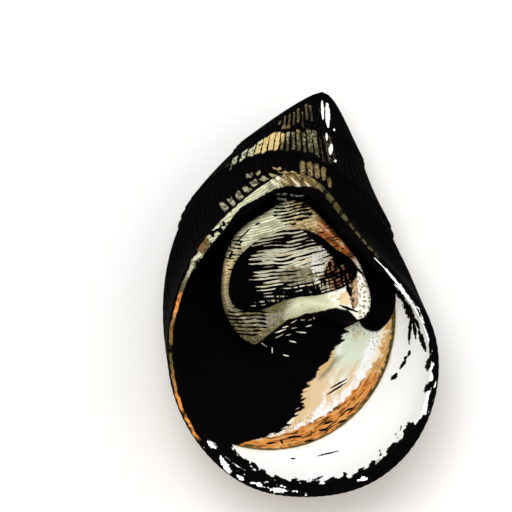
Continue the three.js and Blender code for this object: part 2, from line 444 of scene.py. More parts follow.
def wall_at(growth, turn, sizes):
    """Thickness of the wall, which thins from the belly to the rim."""
    side = np.sin(turn)
    end = np.where(side > 0, sizes.rim_back, sizes.rim_front)
    rim = (sizes.rim_side + (end - sizes.rim_side) * side**2) / MM
    return rim + (sizes.wall / MM - rim) * smoothstep(1 - growth, 0, RIM_ZONE)


def inside(growth, turn, sizes):
    return offset(growth, turn, -wall_at(growth, turn, sizes), INSIDE_SPREAD)


def inside_edge(turn, sizes):
    """Growth at which the inside comes up to just under the rim, found by halving."""
    target = -RIM_TUCK * wall_at(np.ones_like(turn), turn, sizes)
    low, high = np.full_like(turn, 0.8), np.ones_like(turn)
    for _ in range(HALVINGS):
        middle = (low + high) / 2
        above = inside(middle, turn, sizes)[..., 2] > target
        high = np.where(above, middle, high)
        low = np.where(above, low, middle)
    return high


def skin(first, rows, last):
    """Vertices and faces of a closed skin over rows of equal count, with a fan to a pole at each end."""
    count = rows.shape[1]
    points = np.concatenate([[first], rows.reshape(-1, 3), [last]])
    here = np.arange(count)
    beside = (here + 1) % count
    faces = [(0, 1 + j, 1 + i) for i, j in zip(here, beside)]
    for row in range(len(rows) - 1):
        low = 1 + row * count
        high = low + count
        faces += [(low + i, low + j, high + j, high + i) for i, j in zip(here, beside)]
    top = 1 + (len(rows) - 1) * count
    faces += [(top + i, top + j, len(points) - 1) for i, j in zip(here, beside)]
    return points, faces


def towards(point, aim, distance):
    way = np.asarray(aim, float) - point
    return point + way / np.linalg.norm(way) * distance


def wall_skin(sizes):
    """The wall: up the outside from the beak, over the rim's bead and down the inside.

    Gives points, faces, the finish of each face, and each point's place round, along and from the rim."""
    turn = np.arange(COLUMNS) / COLUMNS * TAU
    shares = np.linspace(1, 0, OUTSIDE_ROWS + 1)[1:]
    growth, turns = np.broadcast_arrays(growth_at(shares)[:, None], turn)
    outer = offset(growth, turns, relief_at(growth, turns, sizes))

    far = (1 - HOLLOW_START) ** BELLY_POWER
    near = (1 - inside_edge(turn, sizes)) ** BELLY_POWER
    inner_shares = near + (far - near) * np.linspace(0, 1, INSIDE_ROWS)[:, None]
    inner_growth = growth_at(inner_shares)
    inner_turns = np.broadcast_to(turn, inner_growth.shape)
    inner = inside(inner_growth, inner_turns, sizes)

    reach = BEAD_PULL * np.linalg.norm(inner[0] - outer[-1], axis=-1, keepdims=True)
    rise = outer[-1] - outer[-2]
    sink = inner[0] - inner[1]
    rise *= reach / np.linalg.norm(rise, axis=-1, keepdims=True)
    sink *= reach / np.linalg.norm(sink, axis=-1, keepdims=True)
    pulls = np.stack([outer[-1], outer[-1] + rise, inner[0] + sink, inner[0]])
    along = np.linspace(0, 1, BEAD_ROWS + 2)[1:-1]
    bead = np.stack([bezier(pulls.reshape(4, -1), t).reshape(-1, 3) for t in along])

    rows = np.concatenate([outer, bead, inner])
    growths = np.concatenate([growth, np.ones((BEAD_ROWS, COLUMNS)), inner_growth])
    steps = np.linalg.norm(np.diff(rows, axis=0), axis=-1)
    travelled = np.concatenate([np.zeros((1, COLUMNS)), np.cumsum(steps, axis=0)])
    from_rim = travelled - travelled[OUTSIDE_ROWS - 1]

    beak = np.array([SWAY[-1], *BEAK])
    deep = towards(inner[-1].mean(0), beak, HOLLOW_END_DOME)
    points, faces = skin(beak, rows, deep)
    around = np.stack([np.cos(turn), np.sin(turn)], -1)
    places = np.concatenate([np.broadcast_to(around, (len(rows), COLUMNS, 2)), growths[..., None]], -1)
    ring = np.concatenate([[(1, 0, 0)], places.reshape(-1, 3), [(1, 0, HOLLOW_START)]])
    edge = np.concatenate([[from_rim[0].mean()], from_rim.ravel(), [from_rim[-1].mean()]])
    rows_of_faces = np.array([OUTSIDE_ROWS, BEAD_ROWS + 1, INSIDE_ROWS])
    finish = np.repeat([OUTSIDE, RIM, INSIDE], rows_of_faces * COLUMNS)
    return points, faces, finish, ring, edge


def cup_skin(sizes):
    """The cup: up its outside from a root in the wall, over the rolled lip and down into its hollow.

    Each station has its scale, its share of the way from the cup's outline to the hollow's, and its lift
    above the mouth. Gives points, faces, and each point's place round the cup and along the stations."""
    turn = np.arange(CUP_COLUMNS) / CUP_COLUMNS * TAU
    depth, rise = sizes.cup_depth / MM, sizes.lip_rise / MM
    stations = np.array(
        [
            (0.86, 0, -5.4),
            (0.97, 0, -1.6),
            (1, 0, -0.5),
            (1, 0.2, 0.7 * rise),
            (1, 0.55, rise),
            (1, 0.88, 0.1),
            (1, 1, -0.9),
            (0.94, 1, -0.45 * depth),
            (0.75, 1, -0.8 * depth),
            (0.4, 1, -0.96 * depth),
            (0.1, 1, -depth),
        ]
    )
    profile = spline(stations, CUP_ROWS)
    scale, hollow, lift = (profile[:, k, None] for k in range(3))
    outer, inner = outline_at(CUP_OUTLINE, turn), outline_at(HOLLOW_OUTLINE, turn)
    radius = scale * (outer + (inner - outer) * hollow)
    x = CUP_CENTRE[0] + radius * np.cos(turn)
    y = CUP_CENTRE[1] + radius * np.sin(turn)
    z = CUP_MOUTH_Z + CUP_MOUTH_SLOPE * (y - CUP_CENTRE[1]) + lift
    rows = np.stack([x, y, z], -1)

    middle = middle_of_wall(sizes)
    root = rows[0].copy()
    root[:, :2] = np.array(CUP_CENTRE) + CUP_ROOT_SHARE * (root[:, :2] - np.array(CUP_CENTRE))
    root[:, 2] = [height_under(middle, p) for p in root]
    foot = np.array([*CUP_CENTRE, 0.0])
    foot[2] = height_under(middle, foot)
    points, faces = skin(foot, np.concatenate([root[None], rows]), rows[-1].mean(0))
    station = np.concatenate([[-1], np.linspace(0, len(stations) - 1, CUP_ROWS)])
    around = np.broadcast_to(np.stack([np.cos(turn), np.sin(turn)], -1), (CUP_ROWS + 1, CUP_COLUMNS, 2))
    places = np.concatenate([around, station[:, None, None] * np.ones((1, CUP_COLUMNS, 1))], -1)
    return points, faces, np.concatenate([[(1, 0, -1)], places.reshape(-1, 3), [(1, 0, len(stations) - 1)]])


def tree_of(points):
    """Search tree over points, for finding the nearest ones."""
    tree = KDTree(len(points))
    for index, point in enumerate(points):
        tree.insert(point, index)
    tree.balance()
    return tree


def middle_of_wall(sizes):
    """Points of the belly half way through its wall, as a tree on their plan, with their heights."""
    growth = growth_at(np.linspace(0.1, 0.9, BELLY_SAMPLES[0]))
    turns = np.linspace(math.pi, TAU, BELLY_SAMPLES[1])
    growth, turns = np.meshgrid(growth, turns, indexing="ij")
    points = offset(growth, turns, -0.5 * wall_at(growth, turns, sizes)).reshape(-1, 3)
    return tree_of(points * (1, 1, 0)), points[:, 2]


def height_under(middle, point):
    tree, heights = middle
    found = tree.find_n((point[0], point[1], 0), NEIGHBOURS)
    weights = np.array([1 / (distance + 1e-3) for _, _, distance in found])
    return float(weights @ heights[[index for _, index, _ in found]] / weights.sum())


def placed(name, data):
    made = bpy.data.objects.new(name, data)
    bpy.context.scene.collection.objects.link(made)
    return made


def mesh_object(name, points, faces):
    mesh = bpy.data.meshes.new(name)
    mesh.from_pydata((points * MM).tolist(), [], faces)
    return placed(name, mesh)


def joined(base, added):
    """Mesh of two closed objects joined in one skin."""
    union = base.modifiers.new("join", "BOOLEAN")
    union.operation = "UNION"
    union.solver = "MANIFOLD"
    union.object = added
    mesh = bpy.data.meshes.new_from_object(base.evaluated_get(bpy.context.evaluated_depsgraph_get()))
    for used in (base, added):
        bpy.data.objects.remove(used)
    return mesh


def nearest(points, at):
    """Index of the point nearest to each place."""
    tree = tree_of(points)
    return np.array([tree.find(place)[1] for place in at])


def mark(mesh, name, vectors):
    mesh.attributes.new(name, "FLOAT_VECTOR", "POINT").data.foreach_set(
        "vector", np.asarray(vectors, np.float32).ravel()
    )


def shift_to_frame():
    """From the form's own zero to the frame: the same middle, beak and rim as the solid's box."""
    low, high = np.array(CAD_LOW) / MM, np.array(CAD_HIGH) / MM
    growth, turn = np.linspace(0.5, 1, BOX_SAMPLES[0]), np.linspace(0, TAU, BOX_SAMPLES[1])
    growth, turn = np.meshgrid(growth, turn, indexing="ij")
    x = outside(growth, turn)[..., 0]
    return np.array([(low[0] + high[0] - x.min() - x.max()) / 2, high[1] - BEAK[0], high[2]])


def slanted_plan(points):
    """Across and up in the plan that the markings are laid out in, which looks down at the view's tilt."""
    up = points[:, 1] * math.sin(VIEW_TILT) + points[:, 2] * math.cos(VIEW_TILT)
    return np.stack([points[:, 0], up], -1)


class Socket:
    """A shader value that takes Python operators, each of which adds a Math node."""

    def __init__(self, finish, socket):
        self.finish = finish
        self.socket = socket

    def __add__(self, other):
        return self.finish.math("ADD", self, other)

    __radd__ = __add__

    def __mul__(self, other):
        return self.finish.math("MULTIPLY", self, other)

    __rmul__ = __mul__

    def __sub__(self, other):
        return self.finish.math("SUBTRACT", self, other)

    def __rsub__(self, other):
        return self.finish.math("SUBTRACT", other, self)

    def __truediv__(self, other):
        return self.finish.math("DIVIDE", self, other)

    def __pow__(self, other):
        return self.finish.math("POWER", self, other)


class Finish:
    """A node material under construction."""

    def __init__(self, name):
        self.material = bpy.data.materials.new(name)
        self.material.use_nodes = True
        self.tree = self.material.node_tree
        self.shader = self.tree.nodes["Principled BSDF"]

    def node(self, kind, settings=None, sockets=None, output=0):
        """A node of one kind: its settings are set first, then its sockets get values or links."""
        made = self.tree.nodes.new("ShaderNode" + kind)
        for key, value in (settings or {}).items():
            if key == "stops":
                self.set_stops(made.color_ramp, value)
            else:
                setattr(made, key, value)
        for key, value in (sockets or {}).items():
            self.feed(made.inputs[key], value)
        return Socket(self, made.outputs[output])

    def set_stops(self, ramp, stops):
        while len(ramp.elements) < len(stops):
            ramp.elements.new(1)
        for element, (place, shade) in zip(ramp.elements, stops):
            element.position = place
            element.color = shade

    def feed(self, target, value):
        if isinstance(value, Socket):
            self.tree.links.new(value.socket, target)
        else:
            target.default_value = value

    def math(self, operation, *values):
        return self.node("Math", {"operation": operation}, dict(enumerate(values)))

    def most(self, *values):
        return reduce(lambda one, other: self.math("MAXIMUM", one, other), values)

    def least(self, *values):
        return reduce(lambda one, other: self.math("MINIMUM", one, other), values)

    def parts(self, attribute):
        """The three numbers of one of the mesh's attributes."""
        vector = self.node("Attribute", {"attribute_name": attribute}, output="Vector")
        split = self.node("SeparateXYZ", sockets={0: vector}).socket.node
        return [Socket(self, socket) for socket in split.outputs]

    def smooth(self, value, low, high):
        """0 below one value and 1 above another, or the other way round where the first is the higher."""
        sockets = {"Value": value, "From Min": low, "From Max": high}
        return self.node("MapRange", {"interpolation_type": "SMOOTHSTEP"}, sockets)

    def band(self, value, low, high, soft):
        """1 between two values and 0 outside them, with soft ends."""
        return self.smooth(value, low - soft, low + soft) * self.smooth(value, high + soft, high - soft)

    def noise(self, scale, detail=3):
        """Cloudy noise about zero; scale is in waves to the millimetre."""
        place = self.node("TexCoord", output="Object")
        return self.node("TexNoise", None, {"Vector": place, "Scale": scale / MM, "Detail": detail}) - 0.5

    def grain(self, x, y, detail=3):
        """Noise about zero over two values, each in waves."""
        place = self.node("CombineXYZ", sockets={0: x, 1: y})
        sockets = {"Vector": place, "Scale": 1.0, "Detail": detail}
        return self.node("TexNoise", {"noise_dimensions": "2D"}, sockets) - 0.5

    def layered(self, base, *layers):
        """A colour with others laid over it in turn, each where its mask is 1."""
        for top, mask in layers:
            base = self.node("Mix", {"data_type": "RGBA"}, {0: mask, 6: base, 7: top}, 2)
        return base

    def tint(self, value, low, high, stops):
        """Colours along a value, which runs from low to high."""
        span = high - low
        placed = [((place - low) / span, shade) for place, shade in stops]
        return self.node("ValToRGB", {"stops": placed}, {0: (value - low) / span})

    def bump(self, height, distance):
        sockets = {"Height": height, "Distance": distance * MM}
        self.feed(self.shader.inputs["Normal"], self.node("Bump", None, sockets))

    def done(self, base, roughness, coat=None, shine=SKIN_SHINE):
        self.feed(self.shader.inputs["Base Color"], base)
        self.feed(self.shader.inputs["Roughness"], roughness)
        self.shader.inputs["Specular IOR Level"].default_value = shine
        if coat is not None:
            self.feed(self.shader.inputs["Coat Weight"], coat)
            self.shader.inputs["Coat Roughness"].default_value = COAT_ROUGHNESS
        return self.material


class ShellFinish(Finish):
    """A finish with the shell's own coordinates: turn and growth of the rings, and the slanted plan."""

    def __init__(self, name):
        super().__init__(name)
        cosine, self.sine, self.growth = self.parts("ring")
        self.across, self.up, self.edge = self.parts("plan")
        self.turn = self.math("ARCTAN2", self.sine, cosine)
        self.left_turn = self.math("ARCTAN2", self.sine * -1, cosine * -1)
        self.place = self.node("CombineXYZ", sockets={0: self.across, 1: self.up})
        self.flecks = self.noise(2.2, 5)

    def ellipse(self, middle, radii):
        """1 on an ellipse of the slanted plan, less inside it and more outside."""
        x = (self.across - middle[0]) / radii[0]
        y = (self.up - middle[1]) / radii[1]
        return (x * x + y * y) ** 0.5

    def spot(self, middle, radii):
        """An uneven patch of the slanted plan."""
        return self.smooth(self.ellipse(middle, radii) + self.noise(0.9) * 0.7, 1.12, 0.84)

    def stroke(self, start, end, half_width, taper=STROKE_TAPER, rough=EVEN_EDGE):
        """A short mark between two places of the slanted plan, which thins towards its ends."""
        start = Vector((*start, 0))
        way = Vector((*end, 0)) - start
        here = self.node("VectorMath", {"operation": "SUBTRACT"}, {0: self.place, 1: start})
        per_way = way / way.length_squared
        dot = self.node("VectorMath", {"operation": "DOT_PRODUCT"}, {0: here, 1: per_way}, 1)
        share = self.node("Clamp", None, {0: dot})
        along = self.node("VectorMath", {"operation": "SCALE"}, {0: way, "Scale": share})
        away = self.node("VectorMath", {"operation": "DISTANCE"}, {0: here, 1: along}, 1)
        ends = share * 2 - 1
        away = away / half_width + ends * ends * taper + self.flecks * rough
        return self.smooth(away, 1.1, 0.85)

    def strokes(self, marks, taper=STROKE_TAPER, rough=EVEN_EDGE):
        return self.most(*[self.stroke(*each, taper, rough) for each in marks])

    def hatch(self, slope, spacing, reach, bend=0, wave=0.28):
        """Hand-drawn lines across the slanted plan: how soon, from 0 to 1, each place turns to ink."""
        level = self.up - self.across * slope - self.across * self.across * bend
        lines = self.math("SINE", (level + self.noise(0.22, 1) * 1.2) * (TAU / spacing))
        gaps = self.grain(self.across / reach, level * (0.8 / spacing))
        return lines * wave + gaps * 1.3 + 0.5

    def ink(self, lines, amount):
        """The part of some lines that an amount of ink, from 0 to 1, fills."""
        return self.smooth(lines, 0.95 - amount, 1.05 - amount)

    def dots(self, spacing, size):
        place = self.node("CombineXYZ", sockets={0: self.across / spacing, 1: self.up / spacing})
        sockets = {"Vector": place, "Scale": 1.0}
        away = self.node("TexVoronoi", {"voronoi_dimensions": "2D"}, sockets, "Distance")
        return self.smooth(away, size * 1.25, size * 0.75)

    def between_ribs(self, phase):
        """From 0 on the back of a rib to 1 in its furrows, with one rib to each whole phase."""
        return self.math("ABSOLUTE", self.math("FRACT", phase) - 0.5) * 2

    def ribs(self, phase):
        """How far between ribs each place is, and its rib's own chance about zero."""
        rib = self.math("FLOOR", phase)
        chance = self.node("TexWhiteNoise", {"noise_dimensions": "1D"}, {"W": rib}) - 0.5
        return self.between_ribs(phase), chance

    def pale_marks(self):
        """The thin pale line down the right of the rim, and chips out of the black edge at the front."""
        line = self.strokes(zip(PALE_LINE, PALE_LINE[1:], PALE_LINE_WIDTHS), taper=0)
        zone = self.band(self.left_turn, 0.74, 1.6, 0.04) * self.band(self.edge, 0.4, 2.3, 0.1)
        specks = zone * self.smooth(self.grain(self.left_turn * 16, self.edge * 1.6), 0.17, 0.2)
        return self.most(line, self.strokes(RIM_CHIPS, rough=BROKEN_EDGE), specks)

    def flare(self):
        """The white flare of the rim, from its ragged black edge inwards."""
        splash = self.grain(self.turn * 12, self.edge * 1.9, 5)
        width = 0.8 + 0.5 * self.smooth(self.turn, -0.3, -0.1)
        past = self.smooth(self.edge + splash * 2.6, width - 0.06, width + 0.06)
        past = past * self.smooth(self.edge + splash * 0.5, 0.42, 0.52)

        # Along the front, the black edge is measured from an ellipse
        from_front = (1 - self.ellipse(*RIM_FRONT)) * RIM_FRONT[1][0]
        front_splash = self.grain(self.turn * 13, from_front * 1.3, 4)
        front_width = 3.2 * self.smooth(self.turn, -0.3, -0.74) + 0.4 * self.smooth(self.turn, -1.1, -1.4)
        front_width = front_width + 4 * self.smooth(self.turn, -2.08, -2.3) - 1.05
        past = past * self.smooth(from_front + front_splash * 2.6, front_width - 0.05, front_width + 0.05)

        reach = self.smooth(self.turn + self.noise(0.9) * 0.06, 1.03, 0.97)
        return past * reach * self.smooth(self.up - self.across * 0.3 + self.noise(0.8) * 0.6, 24.7, 24.2)


def outside_finish(colours, sizes):
    """Black, partly skin and partly painted shade, worn through to gold and olive ribs on the beak's back
    and to brown ribs underneath, with white painted highlights right of the beak.
    """
    f = ShellFinish("shell_outside")
    wander = f.noise(0.35, 2) * 0.5
    round_rim = f.turn * (sizes.rib_count / TAU) + wander
    fan = f.math("ARCTAN2", f.across - RIB_FAN[0], RIB_FAN[1] - f.up)
    doubled = f.smooth(f.growth, 0.62, 0.7) * (1 - f.band(f.turn, 0.9, 1.53, 0.03))
    upper = f.smooth(f.sine, 0.2, 0.4)
    on_beak = upper * (1 - doubled)
    away, chance = (
        few + (many - few) * doubled + (fanned - few) * on_beak
        for few, many, fanned in zip(
            f.ribs(round_rim),
            f.ribs(round_rim * (2 - upper * 0.5)),
            f.ribs(fan * RIBS_PER_RADIAN + wander),
        )
    )
    place = f.turn + chance * 0.2
    along = f.growth + f.noise(0.6) * 0.05

    # How far from a rib's back its furrow starts
    left = f.smooth(place, 1.5, 1.62)
    far_left = f.smooth(f.turn, 1.88, 2.0) * (1 - doubled)
    crest = f.band(f.turn, 1.53, 1.7, 0.04) * doubled
    low_down = f.smooth(f.growth, 0.34, 0.56) * f.smooth(f.growth, 0.76, 0.68)
    by_beak = f.smooth(f.growth, 0.31, 0.28)
    under = f.smooth(f.sine + f.noise(0.12) * 0.5 + chance * 0.3, -0.22, -0.45)
    start = 0.67 + chance * 0.3 + crest * 0.2 + left * 0.19 + under * 0.12
    start = start - low_down * 0.2 - doubled * (0.15 + upper * 0.16) - far_left * 0.12 - by_beak * 0.38
    furrow = f.smooth(away + f.noise(1.2) * 0.8, start, start + 0.12)

    # Rows of ribs that are worn through the skin
    rib_end = along + chance * 0.05
    ribs = f.band(place, *RIB_TURN, 0.04)
    ribs = ribs * f.smooth(rib_end - f.smooth(place, 1.8, 2.15) * 0.14, 0.326, 0.35)
    ribs = ribs * f.smooth(rib_end - f.smooth(place, 1.62, 1.95) * 0.04, 0.564, 0.54)
    tall = f.strokes(CREST_CELLS, taper=0.1, rough=2.6) * upper
    cells = f.band(along + chance * 0.03, *CELL_GROWTH, 0.01) * f.band(place, *CELL_TURN, 0.03)
    slivers = f.band(along + chance * 0.04, *SLIVER_GROWTH, 0.01) * f.band(place, *SLIVER_TURN, 0.03)
    rim_rows = f.most(cells, slivers * f.smooth(chance, -0.2, -0.15))
    tip = f.band(along + chance * 0.09, *TIP_GROWTH, 0.012) * f.band(place, *TIP_TURN, 0.05)
    worn = f.most(f.most(ribs, rim_rows, tip) * (1 - furrow), tall)

    right_stops = [(1.05, colours.bark), (1.22, colours.olive), (1.5, colours.olive)]
    left_stops = [(1.6, colours.gold), (1.9, colours.gold), (2.0, colours.rim_green)]
    mottled = 1 - f.band(place, 1.57, 1.92, 0.03) * 0.6
    rib_colour = f.layered(
        f.tint(place, 1.0, 2.4, right_stops + left_stops),
        (colours.rim_green, rim_rows * 0.7),
        (colours.olive, rim_rows * 0.55),
        (colours.rim_gold, f.most(crest, tall * 0.45)),
        (colours.rim_green, f.smooth(f.flecks, 0.05, 0.12) * mottled * 0.4),
        (colours.bark, f.smooth(f.flecks, 0.0, -0.08) * mottled * 0.85),
        (colours.bark, tip * 0.85),
        (colours.black, tip * 0.4),
    )

    # The underside, with the skin left in its furrows and along dark growth lines
    stops = [(-0.18, colours.brown), (-0.02, colours.lip_rust), (0.1, colours.tan), (0.2, colours.gold)]
    warm = f.tint(f.noise(0.16, 4) + chance * 0.12, -0.3, 0.3, stops)
    pale = f.most(*[f.band(along, *limits, 0.01) for limits in PALE_GROWTH])
    warm = f.layered(warm, (colours.gold, pale * 0.75))
    line = f.most(*[f.band(along, *limits, 0.006) for limits in DARK_GROWTH])
    skin_left = f.smooth(f.noise(0.2, 5), 0.06, 0.12) * 0.75
    under_worn = under * (1 - f.most(furrow * 0.9, line * 0.8, skin_left))

    # Painted highlights: white streaks on the ribs to the right of the beak
    beak_highlights = f.strokes(BEAK_HIGHLIGHTS) * f.smooth(f.sine, -0.1, 0.1)
    base = f.layered(colours.black, (rib_colour, worn), (warm, under_worn), (colours.white, beak_highlights))
    lit = f.most(worn, under_worn)
    f.bump(f.noise(3.0, 4) * 0.5 + f.math("SINE", along * 260) * 0.3 - furrow, 0.05)
    return f.done(base, SKIN_ROUGHNESS - lit * 0.3, coat=lit * 0.12)


def rim_finish(colours, sizes):
    """The rim's bead: pale green on the left, gold at the back, and black along the front and sides, partly
    skin and partly painted shade.
    """
    f = ShellFinish("shell_rim")
    stops = [
        (0.75, colours.olive),
        (1.4, colours.olive),
        (1.52, colours.rim_gold),
        (1.7, colours.rim_gold),
        (1.86, colours.rim_green),
    ]
    streak = f.grain(f.across * 1.6 + f.up * 1.4, f.across * 0.3 - f.up * 0.35, 4)
    fine = f.ink(f.hatch(slope=0.55, spacing=0.42, reach=1.6), 0.42)
    browned = f.spot(*BROWNED_RIM)
    pale = f.layered(
        f.tint(f.turn, 0.7, 2.8, stops),
        (colours.moss, fine * 0.6),
        (colours.bark, f.smooth(streak, -0.07, 0.05) * f.smooth(f.turn, 1.95, 1.75) * 0.8),
        (colours.lip_cream, f.smooth(streak, -0.1, -0.2) * f.band(f.turn, 1.5, 1.85, 0.05) * 0.7),
        (colours.bark, f.smooth(f.flecks, 0.02, 0.1) * f.smooth(f.turn, 2.2, 2.4) * 0.8),
        (colours.brown, browned * 0.9),
        (colours.bark, browned * (0.45 + f.smooth(f.flecks, 0.04, -0.06) * 0.45)),
    )
    furrow = f.between_ribs(f.turn * (sizes.rib_count / TAU * 1.3))
    cells = f.smooth(furrow + f.noise(1.2) * 0.8, 0.6, 0.75) * f.smooth(f.turn, 1.52, 1.42)
    width = 1.45 + 0.6 * f.band(f.turn, 1.5, 1.8, 0.1) - 0.4 * f.smooth(f.turn, 1.55, 1.4)
    width = width - 0.45 * f.smooth(f.turn, 1.3, 1.0) - 0.6 * f.band(f.turn, 2.0, 2.22, 0.1)
    reach = f.band(f.turn + f.noise(0.8) * 0.2, 0.72, 2.62, 0.05)
    reach = reach * (1 - f.smooth(f.noise(0.9, 4), 0.05, 0.08) * f.smooth(f.turn, 1.98, 2.2))
    on_back = reach * f.band(f.edge + f.noise(1.5) * 0.3, 0.28, width, 0.07) * (1 - cells * 0.9)

    # The thin line down the left side
    side_stops = [
        (-0.5, colours.rim_green),
        (-0.33, colours.olive),
        (-0.27, colours.orange),
        (-0.17, colours.orange),
        (-0.1, colours.brown),
        (0.14, colours.olive),
        (0.28, colours.brown),
        (0.42, colours.orange),
    ]
    side = f.tint(f.left_turn + f.noise(0.7) * 0.16, -0.6, 0.8, side_stops)
    side = f.layered(side, (colours.bark, f.smooth(f.flecks, 0.0, 0.1) * 0.7))
    thin = f.smooth(f.left_turn, -0.18, -0.04) * 0.2
    on_side = f.band(f.left_turn, -0.56, 0.68, 0.04) * (1 - f.band(f.left_turn, 0.49, 0.52, 0.02))
    on_side = on_side * f.band(f.edge + f.noise(0.5) * 0.6 + thin, 0.5 + thin * 0.4, 0.98, 0.06)
    on_side = on_side * f.smooth(f.grain(f.left_turn * 7, 3.0), -0.14, -0.08)

    white = f.most(f.pale_marks(), f.flare())
    inked = f.strokes(FLARE_STROKES, rough=RAGGED_EDGE)
    base = f.layered(
        colours.black, (pale, on_back), (side, on_side), (colours.white, white), (colours.black, inked)
    )
    lit = f.most(on_back, on_side, white) * (1 - inked)
    f.bump(f.noise(2.2, 4) - cells * on_back, 0.04)
    return f.done(base, SKIN_ROUGHNESS - lit * 0.35, coat=lit * 0.15)


def pearl_colours(f, colours, inner, past, beside, brush):
    """The pearly patch: pink below and green above, brushed with white and tan, with a smear and specks;
    white along the band is painted highlight, tan along the black painted shade.
    """
    smear = f.band(beside + brush * 2, 14.2, 18.2, 0.8)
    smear_core = f.band(past + brush - (beside - 16) * 0.1, 0.6, 1.2, 0.25) * smear
    speckled = f.most(
        f.smooth(f.up, 20.4, 21.6),
        f.spot(*SPECKLED_PEARL),
        f.band(inner, 0.935, 0.985, 0.01) * f.smooth(f.across, 3.5, 2.0),
    )
    return f.layered(
        colours.pearl_pink,
        (colours.pearl_green, f.smooth(f.up + brush * 7, 14.8, 18.2)),
        # Painted highlight: white along the inside of the orange band
        (colours.white, f.smooth(inner + brush * 0.3 + f.flecks * 0.12, 0.88, 1.0)),
        (colours.white, f.smooth(brush + f.flecks * 0.6, 0.04, 0.24) * 0.5),
        # Painted shade: tan along the edge of the black
        (colours.tan, f.smooth(past + brush * 3, 0.9, 0.0) * 0.25),
        (colours.tan, f.smooth(f.flecks - brush, 0.12, 0.3) * 0.4),
        (colours.tan, f.smooth(past + brush, 1.0, 0.5) * smear * 0.8),
        (colours.hollow_olive, smear_core),
        (colours.brown, f.dots(0.45, 0.26) * speckled * 0.5),
    )


def band_colours(f, colours, inner, outer, grain):
    """The orange band: rust streaks, cream at its upper inside and a moss line along its outside."""
    high_up = f.smooth(f.up, 14.5, 18.5)
    right = f.smooth(f.up, 8, 14)
    outline = f.smooth(outer + f.noise(1.4) * 0.07, 0.98 - right * 0.016, 0.99 - right * 0.01)
    return f.layered(
        colours.orange,
        (colours.rust, f.smooth(grain + f.flecks * 0.8, -0.04, 0.12) * 0.9),
        (colours.gold, f.most(f.smooth(grain, -0.05, -0.2) * 0.6, high_up * 0.45)),
        (colours.hollow_cream, f.smooth(inner + f.noise(1.2) * 0.2, 1.045, 0.99) * high_up * 0.85),
        (colours.bark, f.smooth(grain, 0.06, 0.11) * f.smooth(f.up, 15.5, 10.5) * 0.9),
        (colours.moss, outline * 0.9),
        (colours.bark, outline * right * f.smooth(f.flecks, -0.1, 0.06) * 0.8),
    )


def inside_finish(colours):
    """Black painted shade deep inside, a pearly patch with an orange band, and the white flare up to a
    black edge.
    """
    f = ShellFinish("shell_inside")
    # Distances past the edge of the black painted shade and along it
    lean, rise = math.sin(BLACK_EDGE_LEAN), math.cos(BLACK_EDGE_LEAN)
    past = (f.across + 9.0 - f.smooth(f.up, 13.8, 11.8) * 1.05) * rise - f.up * lean
    beside = f.across * lean + f.up * rise
    teeth = f.grain(f.across * 0.45, (f.up - f.across * 0.3) * 1.9, 5)
    brush = f.grain(past * 1.1, beside * 0.3, 5)
    # The black painted shade also covers the SHADE patch right of the cup
    clear = f.smooth(f.ellipse(*SHADE) + f.noise(0.6) * 0.12, 0.97, 1.03)
    past_edge = f.smooth(past + teeth * 2.2, -0.1, 0.12)
    low_end = f.smooth(f.up - f.across * 0.43 - 9.7 + teeth * 1.5, 0.12, -0.1)
    inner, outer = f.ellipse(*BAND_INNER), f.ellipse(*BAND_OUTER)
    pearl = f.most(past_edge, low_end) * clear * f.smooth(f.up + f.noise(0.8) * 1.5, 23.6, 23.0)
    pearl = pearl * f.smooth(outer, 1.004, 0.998)

    # The orange band, between two ellipses
    middle, radii = BAND_OUTER
    around = f.math("ARCTAN2", (f.up - middle[1]) / radii[1], (f.across - middle[0]) / radii[0])
    waves = f.math("ABSOLUTE", f.math("SINE", around * 30 + f.noise(0.4) * 5))
    scallop = waves * 0.014 + f.noise(0.9) * 0.05
    band = f.smooth(inner + scallop, 0.99, 1.005) * f.smooth(outer + f.noise(0.6) * 0.012, 1.004, 0.997)
    low_line = f.smooth(f.up - f.across * 0.2 - 8.5 + teeth * 0.9, 0.1, -0.1)
    band = band * f.most(past_edge, low_end, low_line) * clear * f.smooth(f.across, -9.0, -8.2)
    grain = f.grain(around * 7, outer * 60, 4)

    flare = f.flare() * f.smooth(outer, 0.998, 1.004) * clear
    scratches = f.ink(f.hatch(slope=-0.05, spacing=0.8, reach=0.6), 0.3) * f.spot(*SCRATCHES)
    white = f.pale_marks()
    inked = f.most(f.strokes(FLARE_STROKES, rough=RAGGED_EDGE), f.strokes(INSIDE_STROKES))
    # The base is black painted shade, which the pearl, the band, the flare and the pale marks cover
    base = f.layered(
        colours.black,
        (pearl_colours(f, colours, inner, past, beside, brush), pearl),
        (band_colours(f, colours, inner, outer, grain), band),
        (colours.white, flare),
        (colours.gold, f.smooth(outer + f.noise(1.2) * 0.06, 1.025, 1.0) * flare * 0.4),
        (colours.hollow_cream, f.most(scratches, f.strokes(CUP_DASHES, rough=RAGGED_EDGE))),
        (colours.white, white),
        (colours.black, inked),
    )
    lit = f.most(pearl, band, flare, white) * (1 - inked)
    f.bump(f.noise(1.5, 4) + grain * band + brush * pearl * 0.6, 0.03)
    return f.done(base, SKIN_ROUGHNESS - lit * 0.5, coat=lit * 0.35)


